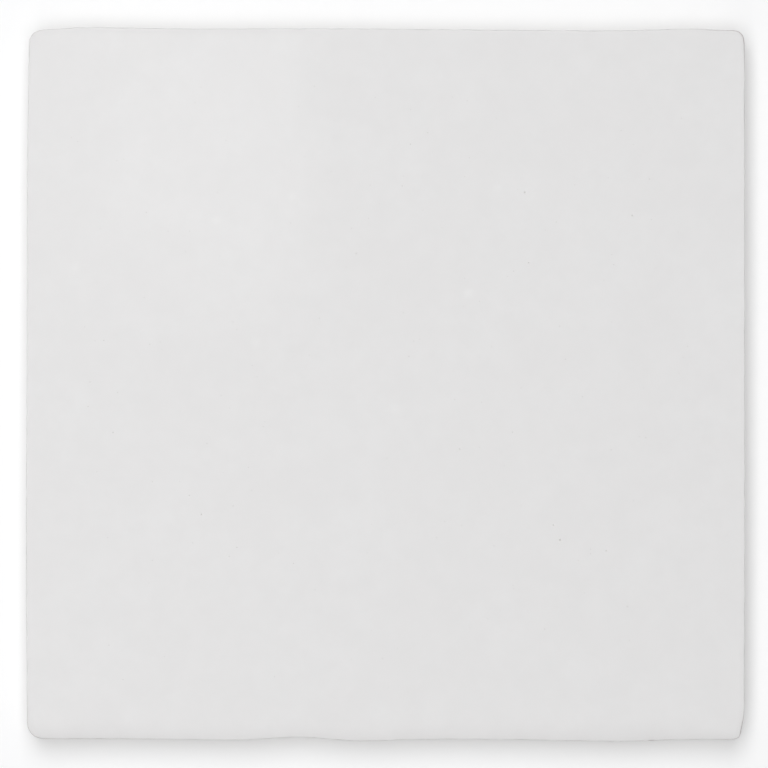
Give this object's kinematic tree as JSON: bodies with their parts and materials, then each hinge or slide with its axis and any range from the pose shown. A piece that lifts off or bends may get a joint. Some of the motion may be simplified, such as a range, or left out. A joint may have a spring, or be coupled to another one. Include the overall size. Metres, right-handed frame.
{
  "type": "ceramic wall tile",
  "caption": "Square white satin-glazed ceramic wall tile with a soft arris that rolls down along the bottom, slightly uneven hand-made sides and a keyed back for bedding in adhesive.",
  "frame": {"origin": "middle of the bedding back, where its lands cross", "axes": "+Z out of the glazed face, +X to the right and +Y up the face as it is hung; it is stored lying face up"},
  "size_m": [0.13, 0.1292, 0.01],
  "materials": {
    "white_glaze": "satin white glaze with fine pinholes over a pale earthenware body"
  },
  "bodies": {
    "root": {"tile": "white_glaze"}
  },
  "joints": []
}
